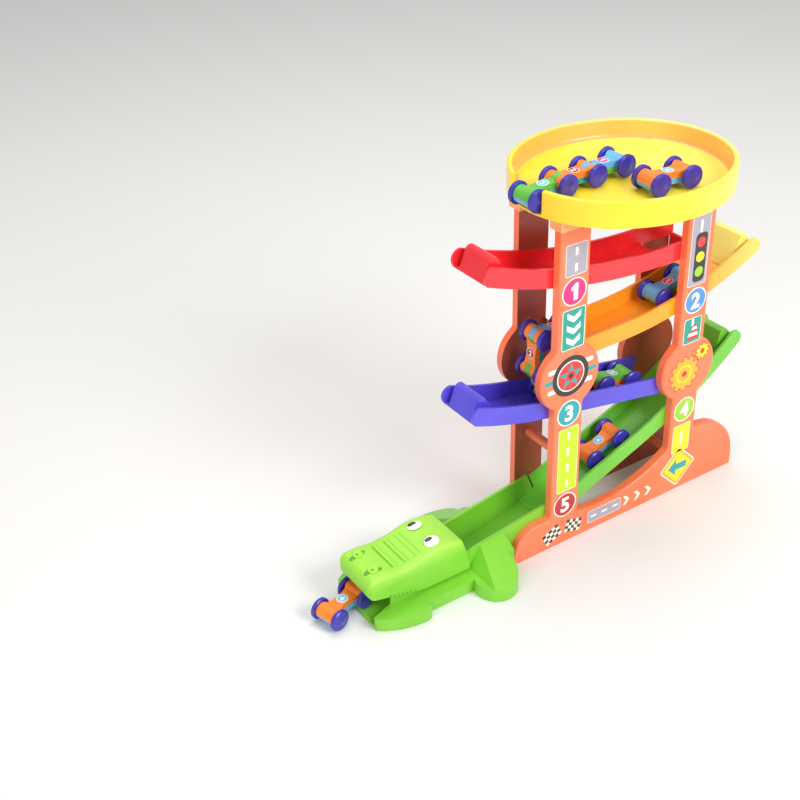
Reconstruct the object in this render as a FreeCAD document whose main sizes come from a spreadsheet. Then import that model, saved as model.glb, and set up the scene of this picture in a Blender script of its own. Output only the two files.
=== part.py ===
"""Toy car ramp: a tower of four sloping rails with a tray on top, a crocodile run-out and small axle cars.

Frame: +Z up, +X towards the high ends of the orange and green rails, +Y towards the rear panel.
The origin is on the ground, midway between the two side panels and midway along the toy's length.
All parts are modelled about the middle of the tray and moved along +X when they are written.
"""
import FreeCAD, Part
import Sketcher
import math
import os
import re

doc = FreeCAD.newDocument("ToyCarRamp")
sheet = doc.addObject("Spreadsheet::Sheet", "Sizes")

# Driving dimensions in millimetres and degrees
SIZES = [
    ("centre_shift", 82.26, "from the middle of the tray to the middle of the toy's length"),
    ("panel_gap", 46.5, "clear gap between the side panels"),
    ("panel_thick", 8.5, "side panel thickness"),
    ("panel_height", 332.4, "pillar top, where the tray rests"),
    ("panel_edge_round", 2.2, "rounding of the panels' outer edges"),
    ("corner_round", 4.0, "rounding where a disc meets its pillar"),
    ("pillar_left", -74.3, "left pillar centre"),
    ("pillar_right", 70.4, "right pillar centre"),
    ("pillar_width", 32.0, "pillar width"),
    ("disc_radius", 32.7, "round plates on the pillars"),
    ("disc_left_up", 181.0, "left disc centre height"),
    ("disc_right_up", 137.7, "right disc centre height"),
    ("toe_left", -133.0, "left end of the panels' foot"),
    ("toe_left_up", 33.0, "left foot height"),
    ("toe_left_round", 30.0, "left foot rounding"),
    ("toe_right", 145.0, "right end of the panels' foot"),
    ("toe_right_up", 66.0, "right foot height"),
    ("toe_right_round", 54.0, "right foot rounding"),
    ("cradle_middle", -28.0, "lowest place of the hollow between the pillars"),
    ("cradle_up", 25.7, "height of that lowest place"),
    ("cradle_round", 142.0, "radius of the hollow"),
    ("side_gap", 0.15, "air between a part and the panel beside it"),
    ("peg_radius", 3.0, "pegs that hold rails, tray and base in the panels"),
    ("peg_length", 4.0, "how far a peg stands out"),
    ("peg_gap", 0.1, "air around and ahead of a peg"),
    ("rod_radius", 4.5, "cross rods between the panels"),
    ("rod_left_up", 95.5, "left cross rod height"),
    ("rod_right_up", 36.5, "right cross rod height"),
    ("rail_wall", 2.6, "rail side wall thickness"),
    ("rail_floor", 2.4, "rail floor thickness"),
    ("rail_depth", 17.0, "rail side wall height"),
    ("rail_lobe", 9.2, "radius of a side wall's round high end"),
    ("hump_width", 32.0, "stop wedge width at the high end"),
    ("hump_run", 36.0, "stop wedge length along the floor"),
    ("hump_band", 7.0, "flat band on top of the wedge"),
    ("hump_rise", 6.5, "wedge height above the side walls"),
    ("hump_round", 5.0, "rounding of the wedge's outer top edge"),
    ("red_end", 88.0, "red rail low end, from the middle"),
    ("red_up", 252.0, "red rail low end height"),
    ("red_slope", 0.5, "red rail slope at its low end"),
    ("red_straight", 50.0, "red rail straight length"),
    ("red_bend", 540.0, "red rail bend radius"),
    ("red_rise", 21.8, "red rail slope at its high end"),
    ("red_nose", 43.0, "red rail drop hole length"),
    ("red_lip_low", -11.0, "lower edge of the red rail's catch plate, below its underside"),
    ("red_lip_high", 1.6, "upper edge of that plate"),
    ("red_peg", 70.4, "red rail low peg place"),
    ("orange_end", -57.0, "orange rail low end"),
    ("orange_up", 190.6, "orange rail low end height"),
    ("orange_slope", 0.5, "orange rail slope at its low end"),
    ("orange_straight", 48.0, "orange rail straight length"),
    ("orange_bend", 375.0, "orange rail bend radius"),
    ("orange_rise", 26.6, "orange rail slope at its high end"),
    ("orange_nose", 11.0, "orange rail drop hole length"),
    ("orange_peg", -52.0, "orange rail low peg place"),
    ("blue_end", 50.0, "blue rail low end"),
    ("blue_up", 115.3, "blue rail low end height"),
    ("blue_slope", 10.3, "blue rail slope at its low end"),
    ("blue_straight", 142.3, "blue rail straight length"),
    ("blue_bend", 430.0, "blue rail bend radius"),
    ("blue_rise", 21.4, "blue rail slope at its high end"),
    ("blue_nose", 11.0, "blue rail drop hole length"),
    ("blue_peg", 46.0, "blue rail low peg place"),
    ("green_end", -68.0, "green rail low end"),
    ("green_up", 28.2, "green rail low end height"),
    ("green_slope", 21.3, "green rail slope at its low end"),
    ("green_straight", 99.8, "green rail straight length"),
    ("green_bend", 420.0, "green rail bend radius"),
    ("green_rise", 40.8, "green rail slope at its high end"),
    ("green_peg", -63.0, "green rail low peg place"),
    ("green_tongue", 20.0, "floor tongue that laps over the crocodile's channel"),
    ("tray_rim", 22.6, "tray height"),
    ("tray_wall", 5.0, "tray rim thickness"),
    ("tray_floor", 5.6, "tray floor thickness"),
    ("tray_end_round", 85.0, "radius of the oval tray's two ends"),
    ("tray_end_shift", 15.0, "centre of an end arc from the middle"),
    ("tray_side_shift", 20.0, "centre of a side arc from the middle"),
    ("tray_fillet", 5.0, "hollow rounding where floor meets rim"),
    ("tray_edge_round", 1.8, "rounding of the rim's top edges"),
    ("exit_near", -15.5, "near side of the tray's exit"),
    ("exit_far", 29.0, "far side of the tray's exit"),
    ("exit_run", 25.0, "length of the exit slope"),
    ("exit_drop", 4.0, "fall of the exit slope"),
    ("plateau_up", 1.4, "step of the tray floor beside the lane"),
    ("plateau_turn", 38.0, "where the step leaves the straight lane"),
    ("plateau_end_x", 78.0, "where the step runs out"),
    ("plateau_end_y", 47.0, "where the step runs out, across"),
    ("plateau_round", 120.0, "radius of the step's curve"),
    ("lug_width", 16.0, "tray lugs beside the pillars"),
    ("lug_thick", 3.6, "tray lug thickness"),
    ("lug_drop", 13.0, "tray lug height"),
    ("collar_wall", 2.2, "wall of the tray's sleeves over the pillar tops"),
    ("collar_drop", 9.0, "height of those sleeves"),
    ("base_front", -282.0, "front edge of the crocodile's lower jaw"),
    ("base_thick", 13.0, "height of the jaw and side ledges"),
    ("jaw_front_half", 32.0, "half width of the jaw's front edge"),
    ("jaw_side_round", 70.0, "curve of the lower jaw's sides"),
    ("jaw_half", 47.0, "half width of the jaw"),
    ("jaw_step", -233.0, "where the jaw narrows"),
    ("ledge_half", 38.5, "half width behind the jaw"),
    ("ledge_end", -168.0, "rear end of the side ledges"),
    ("run_end", -69.5, "rear end of the crocodile's channel"),
    ("run_wall", 2.6, "channel wall thickness"),
    ("run_wall_front", 31.0, "channel wall top at the head"),
    ("run_wall_back", 47.0, "channel wall top at the rear end"),
    ("run_floor", 3.0, "channel floor thickness at the mouth"),
    ("run_lip", 1.5, "channel floor thickness at the mouth's edge"),
    ("flare_half", 29.0, "half width of the channel's flared front"),
    ("flare_end", -258.0, "where the flare ends"),
    ("run_flat_end", -182.0, "where the channel floor starts to climb"),
    ("run_peg", -112.0, "peg of the crocodile's base"),
    ("run_peg_up", 17.0, "height of that peg"),
    ("paw_place", -164.0, "paw centre along the base"),
    ("paw_shift", 46.0, "paw centre from the middle"),
    ("paw_round", 20.0, "paw radius"),
    ("flank_front", -190.0, "front end of the paws"),
    ("flank_rise_start", -177.3, "where the flank starts to rise, behind the head"),
    ("flank_rise_end", -164.0, "where the flank is at its full height"),
    ("flank_end", -138.0, "rear end of the sloping flank"),
    ("flank_top", 34.0, "flank height at the channel wall"),
    ("flank_low", 12.0, "flank height at the paw's tip"),
    ("head_half", 26.0, "head half width"),
    ("head_front", -285.0, "tip of the snout"),
    ("head_back", -184.0, "rear edge of the head"),
    ("head_low", 15.5, "lower edge of the head at its rear"),
    ("head_lip", 33.0, "lower edge of the snout"),
    ("head_crown", 54.5, "top of the head at its rear"),
    ("head_snout", 47.5, "top of the snout"),
    ("head_wall", 3.0, "head shell thickness above the tunnel"),
    ("head_corner", 8.0, "rounding of the snout's front corners, seen from above"),
    ("head_round", 5.0, "rounding of the head's long edges"),
    ("tooth_pitch", 4.4, "spacing of the teeth"),
    ("tooth_deep", 2.4, "depth of the notches between teeth"),
    ("tooth_slope", 0.27, "fall of the toothed edge towards the rear"),
    ("ridge_pitch", 12.0, "spacing of the ridges on the snout"),
    ("ridge_place", -252.0, "first ridge"),
    ("ridge_half", 17.0, "half length of a ridge"),
    ("nostril_place", -271.0, "nostrils along the snout"),
    ("nostril_shift", 12.5, "nostrils from the middle"),
    ("wheelbase", 33.0, "distance between a car's axles"),
    ("wheel_radius", 10.0, "car wheel radius"),
    ("wheel_inner", 10.0, "inner face of a wheel from the middle"),
    ("wheel_thick", 6.0, "wheel thickness over the dome"),
    ("wheel_dome", 1.8, "height of the wheel's dome"),
    ("axle_radius", 1.5, "steel axle radius"),
    ("axle_gap", 0.08, "air between axle and car body"),
    ("hub_radius", 7.6, "round ends of a car body"),
    ("hub_half", 9.6, "half width of a car body"),
    ("waist_up", 5.2, "half height of a car's waist"),
    ("waist_half", 5.7, "half width of a car's waist"),
    ("waist_reach", 14.6, "half length of the hollow in a car's side"),
    ("knuckle_half", 3.0, "half width of a coupling tongue"),
    ("knuckle_gap", 0.35, "air around a coupling tongue"),
    ("badge_radius", 5.3, "round badge on a car's waist"),
    ("badge_up", 0.5, "badge height"),
    ("wheel_gap", 0.25, "air between a resting wheel and its track"),
]
for row, (alias, number, meaning) in enumerate(SIZES, start=1):
    sheet.set(f"A{row}", meaning)
    sheet.set(f"B{row}", str(number))
    sheet.setAlias(f"B{row}", alias)
doc.recompute()
SIZE_NAMES = re.compile(r"\b(" + "|".join(alias for alias, number, meaning in SIZES) + r")\b")


def value(text):
    """The number that an expression of driving dimensions comes to."""
    result = sheet.evalExpression(text)
    return float(getattr(result, "Value", result))


def bind(obj, prop, text):
    """Ties a property to an expression of driving dimensions."""
    obj.setExpression(prop, SIZE_NAMES.sub(r"Sizes.\1", text))


def arc_middle(start, end, radius, bulge):
    """The middle point of the smaller arc from start to end; bulge +1 swells to the right of the way."""
    chord = end.sub(start)
    half = chord.Length / 2
    sagitta = radius - math.sqrt(max(radius * radius - half * half, 0.0))
    right = FreeCAD.Vector(chord.y, -chord.x, 0).normalize()
    return start.add(end).multiply(0.5).add(right.multiply(bulge * sagitta))


def add_outline(sk, corners):
    """Adds one closed outline; a corner is (across, up) or (across, up, radius, bulge) for an arc after it."""
    points = [FreeCAD.Vector(value(c[0]), value(c[1]), 0) for c in corners]
    ends = []
    for i, corner in enumerate(corners):
        start = points[i]
        end = points[(i + 1) % len(points)]
        if len(corner) == 2:
            geo = sk.addGeometry(Part.LineSegment(start, end), False)
            ends.append((geo, 1, 2))
            continue
        middle = arc_middle(start, end, value(corner[2]), corner[3])
        geo = sk.addGeometry(Part.Arc(start, middle, end), False)
        forward = sk.getPoint(geo, 1).distanceToPoint(start) < 1e-6
        ends.append((geo, 1, 2) if forward else (geo, 2, 1))
        radius = sk.addConstraint(Sketcher.Constraint("Radius", geo, value(corner[2])))
        bind(sk, f"Constraints[{radius}]", corner[2])
    for i, corner in enumerate(corners):
        geo, first, last = ends[i]
        before = ends[i - 1]
        sk.addConstraint(Sketcher.Constraint("Coincident", before[0], before[2], geo, first))
        for kind, place, text in (("DistanceX", points[i].x, corner[0]), ("DistanceY", points[i].y, corner[1])):
            number = sk.addConstraint(Sketcher.Constraint(kind, -1, 1, geo, first, place))
            bind(sk, f"Constraints[{number}]", text)


def add_circle(sk, across, up, radius):
    """Adds one circle whose place and radius follow the driving dimensions."""
    centre = FreeCAD.Vector(value(across), value(up), 0)
    geo = sk.addGeometry(Part.Circle(centre, FreeCAD.Vector(0, 0, 1), value(radius)), False)
    for kind, place, text in (("DistanceX", centre.x, across), ("DistanceY", centre.y, up)):
        number = sk.addConstraint(Sketcher.Constraint(kind, -1, 1, geo, 3, place))
        bind(sk, f"Constraints[{number}]", text)
    number = sk.addConstraint(Sketcher.Constraint("Radius", geo, value(radius)))
    bind(sk, f"Constraints[{number}]", radius)


def new_sketch(body, plane, outlines=(), circles=(), offset=None):
    """A sketch on one of the body's own planes; offset moves it along that plane's normal."""
    sk = body.newObject("Sketcher::SketchObject", body.Label + "_sketch")
    support = next(o for o in body.Origin.OriginFeatures if o.Role == plane)
    sk.AttachmentSupport = [(support, "")]
    sk.MapMode = "FlatFace"
    if offset:
        bind(sk, "AttachmentOffset.Base.z", offset)
    for corners in outlines:
        add_outline(sk, corners)
    for across, up, radius in circles:
        add_circle(sk, across, up, radius)
    return sk


def new_body(label):
    body = doc.addObject("PartDesign::Body", label)
    body.Label = label
    return body


def pad(body, sk, length, symmetric=True, reverse=False, kind="Pad"):
    """Pads or pockets a sketch by a length that follows the driving dimensions."""
    feature = body.newObject("PartDesign::" + kind, body.Label + "_" + kind.lower())
    feature.Profile = sk
    feature.SideType = "Symmetric" if symmetric else "One side"
    feature.Reversed = reverse
    bind(feature, "Length", length)
    return feature


def pocket(body, sk, length, symmetric=True, reverse=False):
    """A pocket that really takes material away."""
    doc.recompute()
    before = body.Shape.Volume
    feature = pad(body, sk, length, symmetric, reverse, "Pocket")
    doc.recompute()
    if body.Shape.Volume > before - 1e-3:
        raise RuntimeError(feature.Label + " cuts nothing")
    return feature


def round_edges(body, radius, wanted):
    """Fillets the edges of the body's last shape that the test names."""
    doc.recompute()
    base = body.Tip
    names = [f"Edge{i}" for i, edge in enumerate(base.Shape.Edges, start=1) if wanted(edge)]
    feature = body.newObject("PartDesign::Fillet", body.Label + "_fillet")
    feature.Base = (base, names)
    bind(feature, "Radius", radius)
    return feature


def place(obj, x=0.0, y=0.0, z=0.0, yaw=0.0, pitch=0.0, roll=0.0):
    """Puts a finished sub-part in its place; pitch lifts its front end."""
    obj.Placement = FreeCAD.Placement(FreeCAD.Vector(x, y, z), FreeCAD.Rotation(yaw, -pitch, roll))


# Rail shapes, seen from the side
#
# A rail starts at its low end, runs straight at its slope and then bends up to its high end.
# Its own frame has the low end at the origin and runs along +X.

RAILS = {"red": -1, "orange": 1, "blue": -1, "green": 1}


def on_straight(rail, along, out):
    """A point beside the straight: its distance along the rail and out from the underside."""
    return (f"({along}) * cos({rail}_slope) - ({out}) * sin({rail}_slope)",
            f"({along}) * sin({rail}_slope) + ({out}) * cos({rail}_slope)")


def on_bend(rail, angle, out):
    """A point on the bend where the rail has that slope, out from the underside."""
    start_x, start_z = on_straight(rail, f"{rail}_straight", f"{rail}_bend")
    return (f"{start_x} + ({rail}_bend - ({out})) * sin({angle})",
            f"{start_z} - ({rail}_bend - ({out})) * cos({angle})")


def wall_middle(rail, x, bent):
    """Height of the side wall's middle above the ground at a place x of the whole toy."""
    along = f"abs({x} - {rail}_end)"
    if not bent:
        return f"{rail}_up + {along} * tan({rail}_slope) + rail_depth / 2 / cos({rail}_slope)"
    centre_x, centre_z = on_straight(rail, f"{rail}_straight", f"{rail}_bend")
    return (f"{rail}_up + {centre_z} - sqrt(({rail}_bend - rail_depth / 2) ^ 2"
            f" - ({along} - ({centre_x})) ^ 2)")


def rail_pegs(rail):
    """Where the rail's pegs sit in the panels, as (x, height) of the whole toy."""
    high = "pillar_left" if RAILS[rail] < 0 else "pillar_right"
    return [(high, wall_middle(rail, high, True)),
            (f"{rail}_peg", wall_middle(rail, f"{rail}_peg", False))]


def make_rail(rail):
    """One rail: bent side walls, thin floor, stop wedge at the high end and pegs for the panels."""
    body = new_body(f"rail_{rail}")
    far = f"{rail}_rise"
    deep = "rail_depth"
    band = [
        on_straight(rail, "0", "0"),
        on_straight(rail, f"{rail}_straight", "0") + (f"{rail}_bend", 1),
        on_bend(rail, far, "0") + ("rail_lobe", 1),
        on_bend(rail, far, deep) + (f"{rail}_bend - rail_depth", -1),
        on_straight(rail, f"{rail}_straight", deep),
        on_straight(rail, "0", deep),
    ]
    pad(body, new_sketch(body, "XZ_Plane", [band]), "panel_gap - 2 * side_gap")
    pegs = [(f"abs({x} - {rail}_end)", f"{up} - {rail}_up", "peg_radius") for x, up in rail_pegs(rail)]
    pad(body, new_sketch(body, "XZ_Plane", circles=pegs), "panel_gap + 2 * peg_length")
    above = "rail_depth + 3"
    start = "0" if rail == "green" else f"{rail}_nose"
    nose = "rail_floor / 2 + 0.05"
    top = [
        on_straight(rail, start, "rail_floor"),
        on_straight(rail, f"{rail}_straight", "rail_floor") + (f"{rail}_bend - rail_floor", 1),
        on_bend(rail, far, "rail_floor"),
        on_bend(rail, far, "-3"),
        on_bend(rail, f"{far} + 6", "-3"),
        on_bend(rail, f"{far} + 6", above) + (f"{rail}_bend - ({above})", -1),
        on_straight(rail, f"{rail}_straight", above),
        on_straight(rail, "-3", above),
    ]
    if rail == "green":
        top.append(on_straight(rail, "-3", "rail_floor"))
    else:
        top.append(on_straight(rail, "-3", "-3"))
        top.append(on_straight(rail, start, "-3"))
        top.append(on_straight(rail, start, "0") + (nose, 1))
    pocket(body, new_sketch(body, "XZ_Plane", [top]), "panel_gap - 2 * side_gap - 2 * rail_wall")
    foot = f"{far} - hump_run / {rail}_bend * 57.3"
    flat = f"{far} - hump_band / {rail}_bend * 57.3"
    wedge = [
        on_bend(rail, foot, "rail_floor / 2"),
        on_bend(rail, far, "rail_floor / 2"),
        on_bend(rail, far, "rail_depth + hump_rise"),
        on_bend(rail, flat, "rail_depth + hump_rise"),
    ]
    pad(body, new_sketch(body, "XZ_Plane", [wedge]), "hump_width")
    tip_x, tip_z = (value(text) for text in on_bend(rail, far, "rail_depth + hump_rise"))

    def outer_top(edge):
        return all(abs(v.X - tip_x) < 1e-4 and abs(v.Z - tip_z) < 1e-4 for v in edge.Vertexes)

    round_edges(body, "hump_round", outer_top)
    if rail == "red":
        plate = [
            on_straight(rail, "0", "red_lip_low"),
            on_straight(rail, "rail_wall", "red_lip_low"),
            on_straight(rail, "rail_wall", "red_lip_high"),
            on_straight(rail, "0", "red_lip_high"),
        ]
        pad(body, new_sketch(body, "XZ_Plane", [plate]), "panel_gap - 2 * side_gap - rail_wall")
    if rail == "green":
        tongue = [
            on_straight(rail, "-green_tongue", "0"),
            on_straight(rail, "5", "0"),
            on_straight(rail, "5", "rail_floor"),
            on_straight(rail, "-green_tongue + 1", "rail_floor"),
            on_straight(rail, "-green_tongue", "rail_floor - 1"),
        ]
        width = "panel_gap - 2 * side_gap - 2 * run_wall - 2 * wheel_gap"
        pad(body, new_sketch(body, "XZ_Plane", [tongue]), width)
    place(body, value(f"{rail}_end"), 0, value(f"{rail}_up"), 180 if RAILS[rail] < 0 else 0)
    return body


# Side panels

def disc_chord():
    return "sqrt(disc_radius ^ 2 - (pillar_width / 2) ^ 2)"


def cradle_height(x):
    return f"cradle_up + cradle_round - sqrt(cradle_round ^ 2 - ({x} - cradle_middle) ^ 2)"


def make_panel(label, front):
    """A side panel: two pillars with a disc each, joined by a foot with a round hollow."""
    body = new_body(label)
    left = "(pillar_left - pillar_width / 2)"
    left_in = "(pillar_left + pillar_width / 2)"
    right_in = "(pillar_right - pillar_width / 2)"
    right = "(pillar_right + pillar_width / 2)"
    chord = disc_chord()
    disc = ("disc_radius", 1)
    outline = [
        ("toe_left", "0"),
        ("toe_right", "0"),
        ("toe_right", "toe_right_up - toe_right_round", "toe_right_round", 1),
        ("toe_right - toe_right_round", "toe_right_up"),
        (right, "toe_right_up"),
        (right, f"disc_right_up - {chord}") + disc,
        (right, f"disc_right_up + {chord}"),
        (right, "panel_height"),
        (right_in, "panel_height"),
        (right_in, f"disc_right_up + {chord}") + disc,
        (right_in, f"disc_right_up - {chord}"),
        (right_in, cradle_height(right_in), "cradle_round", -1),
        (left_in, cradle_height(left_in)),
        (left_in, f"disc_left_up - {chord}") + disc,
        (left_in, f"disc_left_up + {chord}"),
        (left_in, "panel_height"),
        (left, "panel_height"),
        (left, f"disc_left_up + {chord}") + disc,
        (left, f"disc_left_up - {chord}"),
        (left, "toe_left_up"),
        ("toe_left + toe_left_round", "toe_left_up", "toe_left_round", 1),
        ("toe_left", "toe_left_up - toe_left_round"),
    ]
    pad(body, new_sketch(body, "XZ_Plane", [outline]), "panel_thick", False, not front)
    outer = value("panel_thick") * (-1 if front else 1)

    def upright_corner(edge):
        low, high = value("toe_left_up") - 1, value("panel_height") - 1
        ends = [v.Point for v in edge.Vertexes]
        return len(ends) == 2 and abs(ends[0].y - ends[1].y) > 1 and low < ends[0].z < high

    round_edges(body, "corner_round", upright_corner)
    round_edges(body, "panel_edge_round", lambda edge: all(abs(v.Y - outer) < 1e-6 for v in edge.Vertexes)
                and edge.BoundBox.ZMax > 0.01)
    holes = [peg for rail in RAILS for peg in rail_pegs(rail)]
    holes += [(x, "panel_height - lug_drop / 2") for x in ("pillar_left", "pillar_right")]
    holes += [("pillar_left", "rod_left_up"), ("pillar_right", "rod_right_up"), ("run_peg", "run_peg_up")]
    circles = [(x, up, "peg_radius + peg_gap") for x, up in holes]
    pocket(body, new_sketch(body, "XZ_Plane", circles=circles), "peg_length + peg_gap", False, front)
    place(body, 0, value("panel_gap") / 2 * (-1 if front else 1))
    return body


def make_rod(label, x, up):
    """A cross rod: a thick tube between the panels with a thinner end in each."""
    body = new_body(label)
    thick = new_sketch(body, "XZ_Plane", circles=[("0", "0", "rod_radius")])
    pad(body, thick, "panel_gap - 2 * side_gap")
    thin = new_sketch(body, "XZ_Plane", circles=[("0", "0", "peg_radius")])
    pad(body, thin, "panel_gap + 2 * peg_length")
    place(body, value(x), 0, value(up))
    return body


# Tray

def oval(inset):
    """The tray's oval outline, made of two end arcs and two side arcs, moved inwards by inset."""
    reach = "sqrt(tray_end_shift ^ 2 + tray_side_shift ^ 2)"
    end = f"(tray_end_round - ({inset}))"
    side = f"tray_end_round + {reach} - ({inset})"
    x = f"(tray_end_shift + {end} * tray_end_shift / {reach})"
    y = f"({end} * tray_side_shift / {reach})"
    return [
        (x, f"-{y}", end, 1),
        (x, y, side, 1),
        (f"-{x}", y, end, 1),
        (f"-{x}", f"-{y}", side, 1),
    ]


def make_tray():
    """The round tray: rim, floor with a lane to the exit, and lugs that hang beside the pillars."""
    body = new_body("tray")
    pad(body, new_sketch(body, "XY_Plane", [oval("0")]), "tray_rim", False)
    inner = new_sketch(body, "XY_Plane", [oval("tray_wall")], offset="tray_floor")
    pocket(body, inner, "tray_rim", False, True)
    floor = value("tray_floor")
    top = value("tray_rim")

    def all_at(edge, height):
        return all(abs(v.Z - height) < 1e-6 for v in edge.Vertexes)

    round_edges(body, "tray_fillet", lambda edge: all_at(edge, floor))
    round_edges(body, "tray_edge_round", lambda edge: all_at(edge, top))
    reach = "(tray_end_shift + tray_end_round)"
    gate = [
        (f"-{reach} - 5", "exit_near"),
        (f"-{reach} * 0.75", "exit_near"),
        (f"-{reach} * 0.75", "exit_far"),
        (f"-{reach} - 5", "exit_far"),
    ]
    pocket(body, new_sketch(body, "XY_Plane", [gate], offset="tray_floor"), "tray_rim", False, True)
    slope = [
        (f"-{reach} + exit_run", "tray_floor"),
        (f"-{reach} - 5", "tray_floor"),
        (f"-{reach} - 5", "tray_floor - exit_drop"),
        (f"-{reach}", "tray_floor - exit_drop"),
    ]
    cut = new_sketch(body, "XZ_Plane", [slope], offset="-exit_near")
    pocket(body, cut, "exit_far - exit_near", False, False)
    step = [
        (f"-{reach} + 8", "exit_far + 1"),
        ("plateau_turn", "exit_far + 1", "plateau_round", 1),
        ("plateau_end_x", "plateau_end_y"),
        ("tray_end_shift", "tray_end_round - 4"),
        (f"-{reach} * 0.75", "tray_end_round * 0.6"),
    ]
    pad(body, new_sketch(body, "XY_Plane", [step], offset="tray_floor - 0.5"), "plateau_up + 0.5", False)
    inside = "panel_gap / 2 - side_gap"
    outside = "panel_gap / 2 + panel_thick + side_gap"
    for side in (1, -1):
        sleeves = []
        hollows = []
        for x in ("pillar_left", "pillar_right"):
            half = "pillar_width / 2 + side_gap"
            sleeves.append([
                (f"{x} - ({half} + collar_wall)", f"{side} * ({inside} - lug_thick)"),
                (f"{x} + ({half} + collar_wall)", f"{side} * ({inside} - lug_thick)"),
                (f"{x} + ({half} + collar_wall)", f"{side} * ({outside} + collar_wall)"),
                (f"{x} - ({half} + collar_wall)", f"{side} * ({outside} + collar_wall)"),
            ])
            hollows.append([
                (f"{x} - ({half})", f"{side} * ({inside})"),
                (f"{x} + ({half})", f"{side} * ({inside})"),
                (f"{x} + ({half})", f"{side} * ({outside})"),
                (f"{x} - ({half})", f"{side} * ({outside})"),
            ])
        pad(body, new_sketch(body, "XY_Plane", sleeves), "collar_drop", False, True)
        pocket(body, new_sketch(body, "XY_Plane", hollows), "collar_drop + 1", False, False)
        lugs = []
        for x in ("pillar_left", "pillar_right"):
            lugs.append([
                (f"{x} - lug_width / 2", f"{side} * ({inside} - lug_thick)"),
                (f"{x} + lug_width / 2", f"{side} * ({inside} - lug_thick)"),
                (f"{x} + lug_width / 2", f"{side} * ({inside})"),
                (f"{x} - lug_width / 2", f"{side} * ({inside})"),
            ])
        pad(body, new_sketch(body, "XY_Plane", lugs), "lug_drop", False, True)
        pegs = [(x, "-lug_drop / 2", "peg_radius") for x in ("pillar_left", "pillar_right")]
        start = new_sketch(body, "XZ_Plane", circles=pegs, offset=f"{side} * ({inside} - 1)")
        pad(body, start, "peg_length + side_gap + 1", False, side < 0)
    place(body, 0, 0, value("panel_height"))
    return body


# Crocodile

def run_floor_line(x):
    """Height of the channel floor under the green rail's tongue at a place x."""
    return (f"(green_up + ({x} - green_end) * tan(green_slope) - wheel_gap - 0.1)")


def make_croc_base():
    """Lower jaw, ledges, paws and the channel that carries the cars from the green rail to the mouth."""
    body = new_body("croc_base")
    flank = [
        ("-paw_shift - paw_round", "0"),
        ("paw_shift + paw_round", "0"),
        ("paw_shift + paw_round", "flank_low"),
        ("panel_gap / 2 - side_gap", "flank_top"),
        ("-panel_gap / 2 + side_gap", "flank_top"),
        ("-paw_shift - paw_round", "flank_low"),
    ]
    side_view = new_sketch(body, "YZ_Plane", [flank], offset="flank_front")
    pad(body, side_view, "flank_end - flank_front", False)
    reach = "sqrt(paw_round ^ 2 - (ledge_half - paw_shift) ^ 2)"
    trims = []
    for side in (-1, 1):
        trims.append([
            ("flank_front - 1", f"{side} * ledge_half"),
            (f"paw_place - {reach}", f"{side} * ledge_half", "paw_round", -side),
            ("paw_place", f"{side} * (paw_shift + paw_round)", "paw_round", -side),
            (f"paw_place + {reach}", f"{side} * ledge_half"),
            ("flank_end + 1", f"{side} * ledge_half"),
            ("flank_end + 1", f"{side} * (paw_shift + paw_round + 5)"),
            ("flank_front - 1", f"{side} * (paw_shift + paw_round + 5)"),
        ])
    pocket(body, new_sketch(body, "XY_Plane", trims), "flank_top * 3", True)
    front_slope = [
        ("flank_front - 2", "base_thick"),
        ("flank_rise_start", "base_thick"),
        ("flank_rise_end", "flank_top + 1"),
        ("flank_front - 2", "flank_top + 1"),
    ]
    pocket(body, new_sketch(body, "XZ_Plane", [front_slope]), "4 * paw_shift")
    jaw = [
        ("base_front", "-jaw_front_half", "jaw_side_round", 1),
        ("jaw_step - 4", "-jaw_half"),
        ("jaw_step", "-jaw_half + 2"),
        ("jaw_step", "-ledge_half"),
        ("ledge_end", "-ledge_half"),
        ("ledge_end", "ledge_half"),
        ("jaw_step", "ledge_half"),
        ("jaw_step", "jaw_half - 2"),
        ("jaw_step - 4", "jaw_half", "jaw_side_round", 1),
        ("base_front", "jaw_front_half"),
    ]
    pad(body, new_sketch(body, "XY_Plane", [jaw]), "base_thick", False)
    walls = [
        ("base_front", "0"),
        ("run_end", "0"),
        ("run_end", "green_up - 1"),
        ("run_end - (run_wall_back - green_up + 1) * tan(green_slope)", "run_wall_back"),
        ("flank_rise_start + 4", "run_wall_front + 2"),
        ("flank_rise_start", "run_wall_front"),
        ("flare_end - 2", "run_wall_front"),
        ("flare_end - 4", "base_thick"),
        ("base_front", "base_thick"),
    ]
    pad(body, new_sketch(body, "XZ_Plane", [walls]), "panel_gap - 2 * side_gap")
    tip = "(green_end - green_tongue * cos(green_slope))"
    channel = [
        ("base_front - 2", "run_lip"),
        ("base_front", "run_lip"),
        ("base_front + 2", "run_floor"),
        ("run_flat_end", "run_floor", "300", 1),
        (tip, run_floor_line(tip)),
        ("run_end + 2", run_floor_line("(run_end + 2)")),
        ("run_end + 2", "run_wall_back * 2"),
        ("base_front - 2", "run_wall_back * 2"),
    ]
    inner = "panel_gap - 2 * side_gap - 2 * run_wall"
    pocket(body, new_sketch(body, "XZ_Plane", [channel]), inner)
    flare = [
        ("base_front - 2", "-flare_half"),
        ("flare_end", f"-({inner}) / 2"),
        ("flare_end", f"({inner}) / 2"),
        ("base_front - 2", "flare_half"),
    ]
    mouth = new_sketch(body, "XY_Plane", [flare], offset="run_floor")
    pocket(body, mouth, "run_wall_back", False, True)
    for side in (-1, 1):
        start = new_sketch(body, "XZ_Plane", circles=[("run_peg", "run_peg_up", "peg_radius")],
                           offset=f"{side} * (panel_gap / 2 - side_gap - 1)")
        pad(body, start, "peg_length + side_gap + 1", False, side < 0)
    return body


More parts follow.
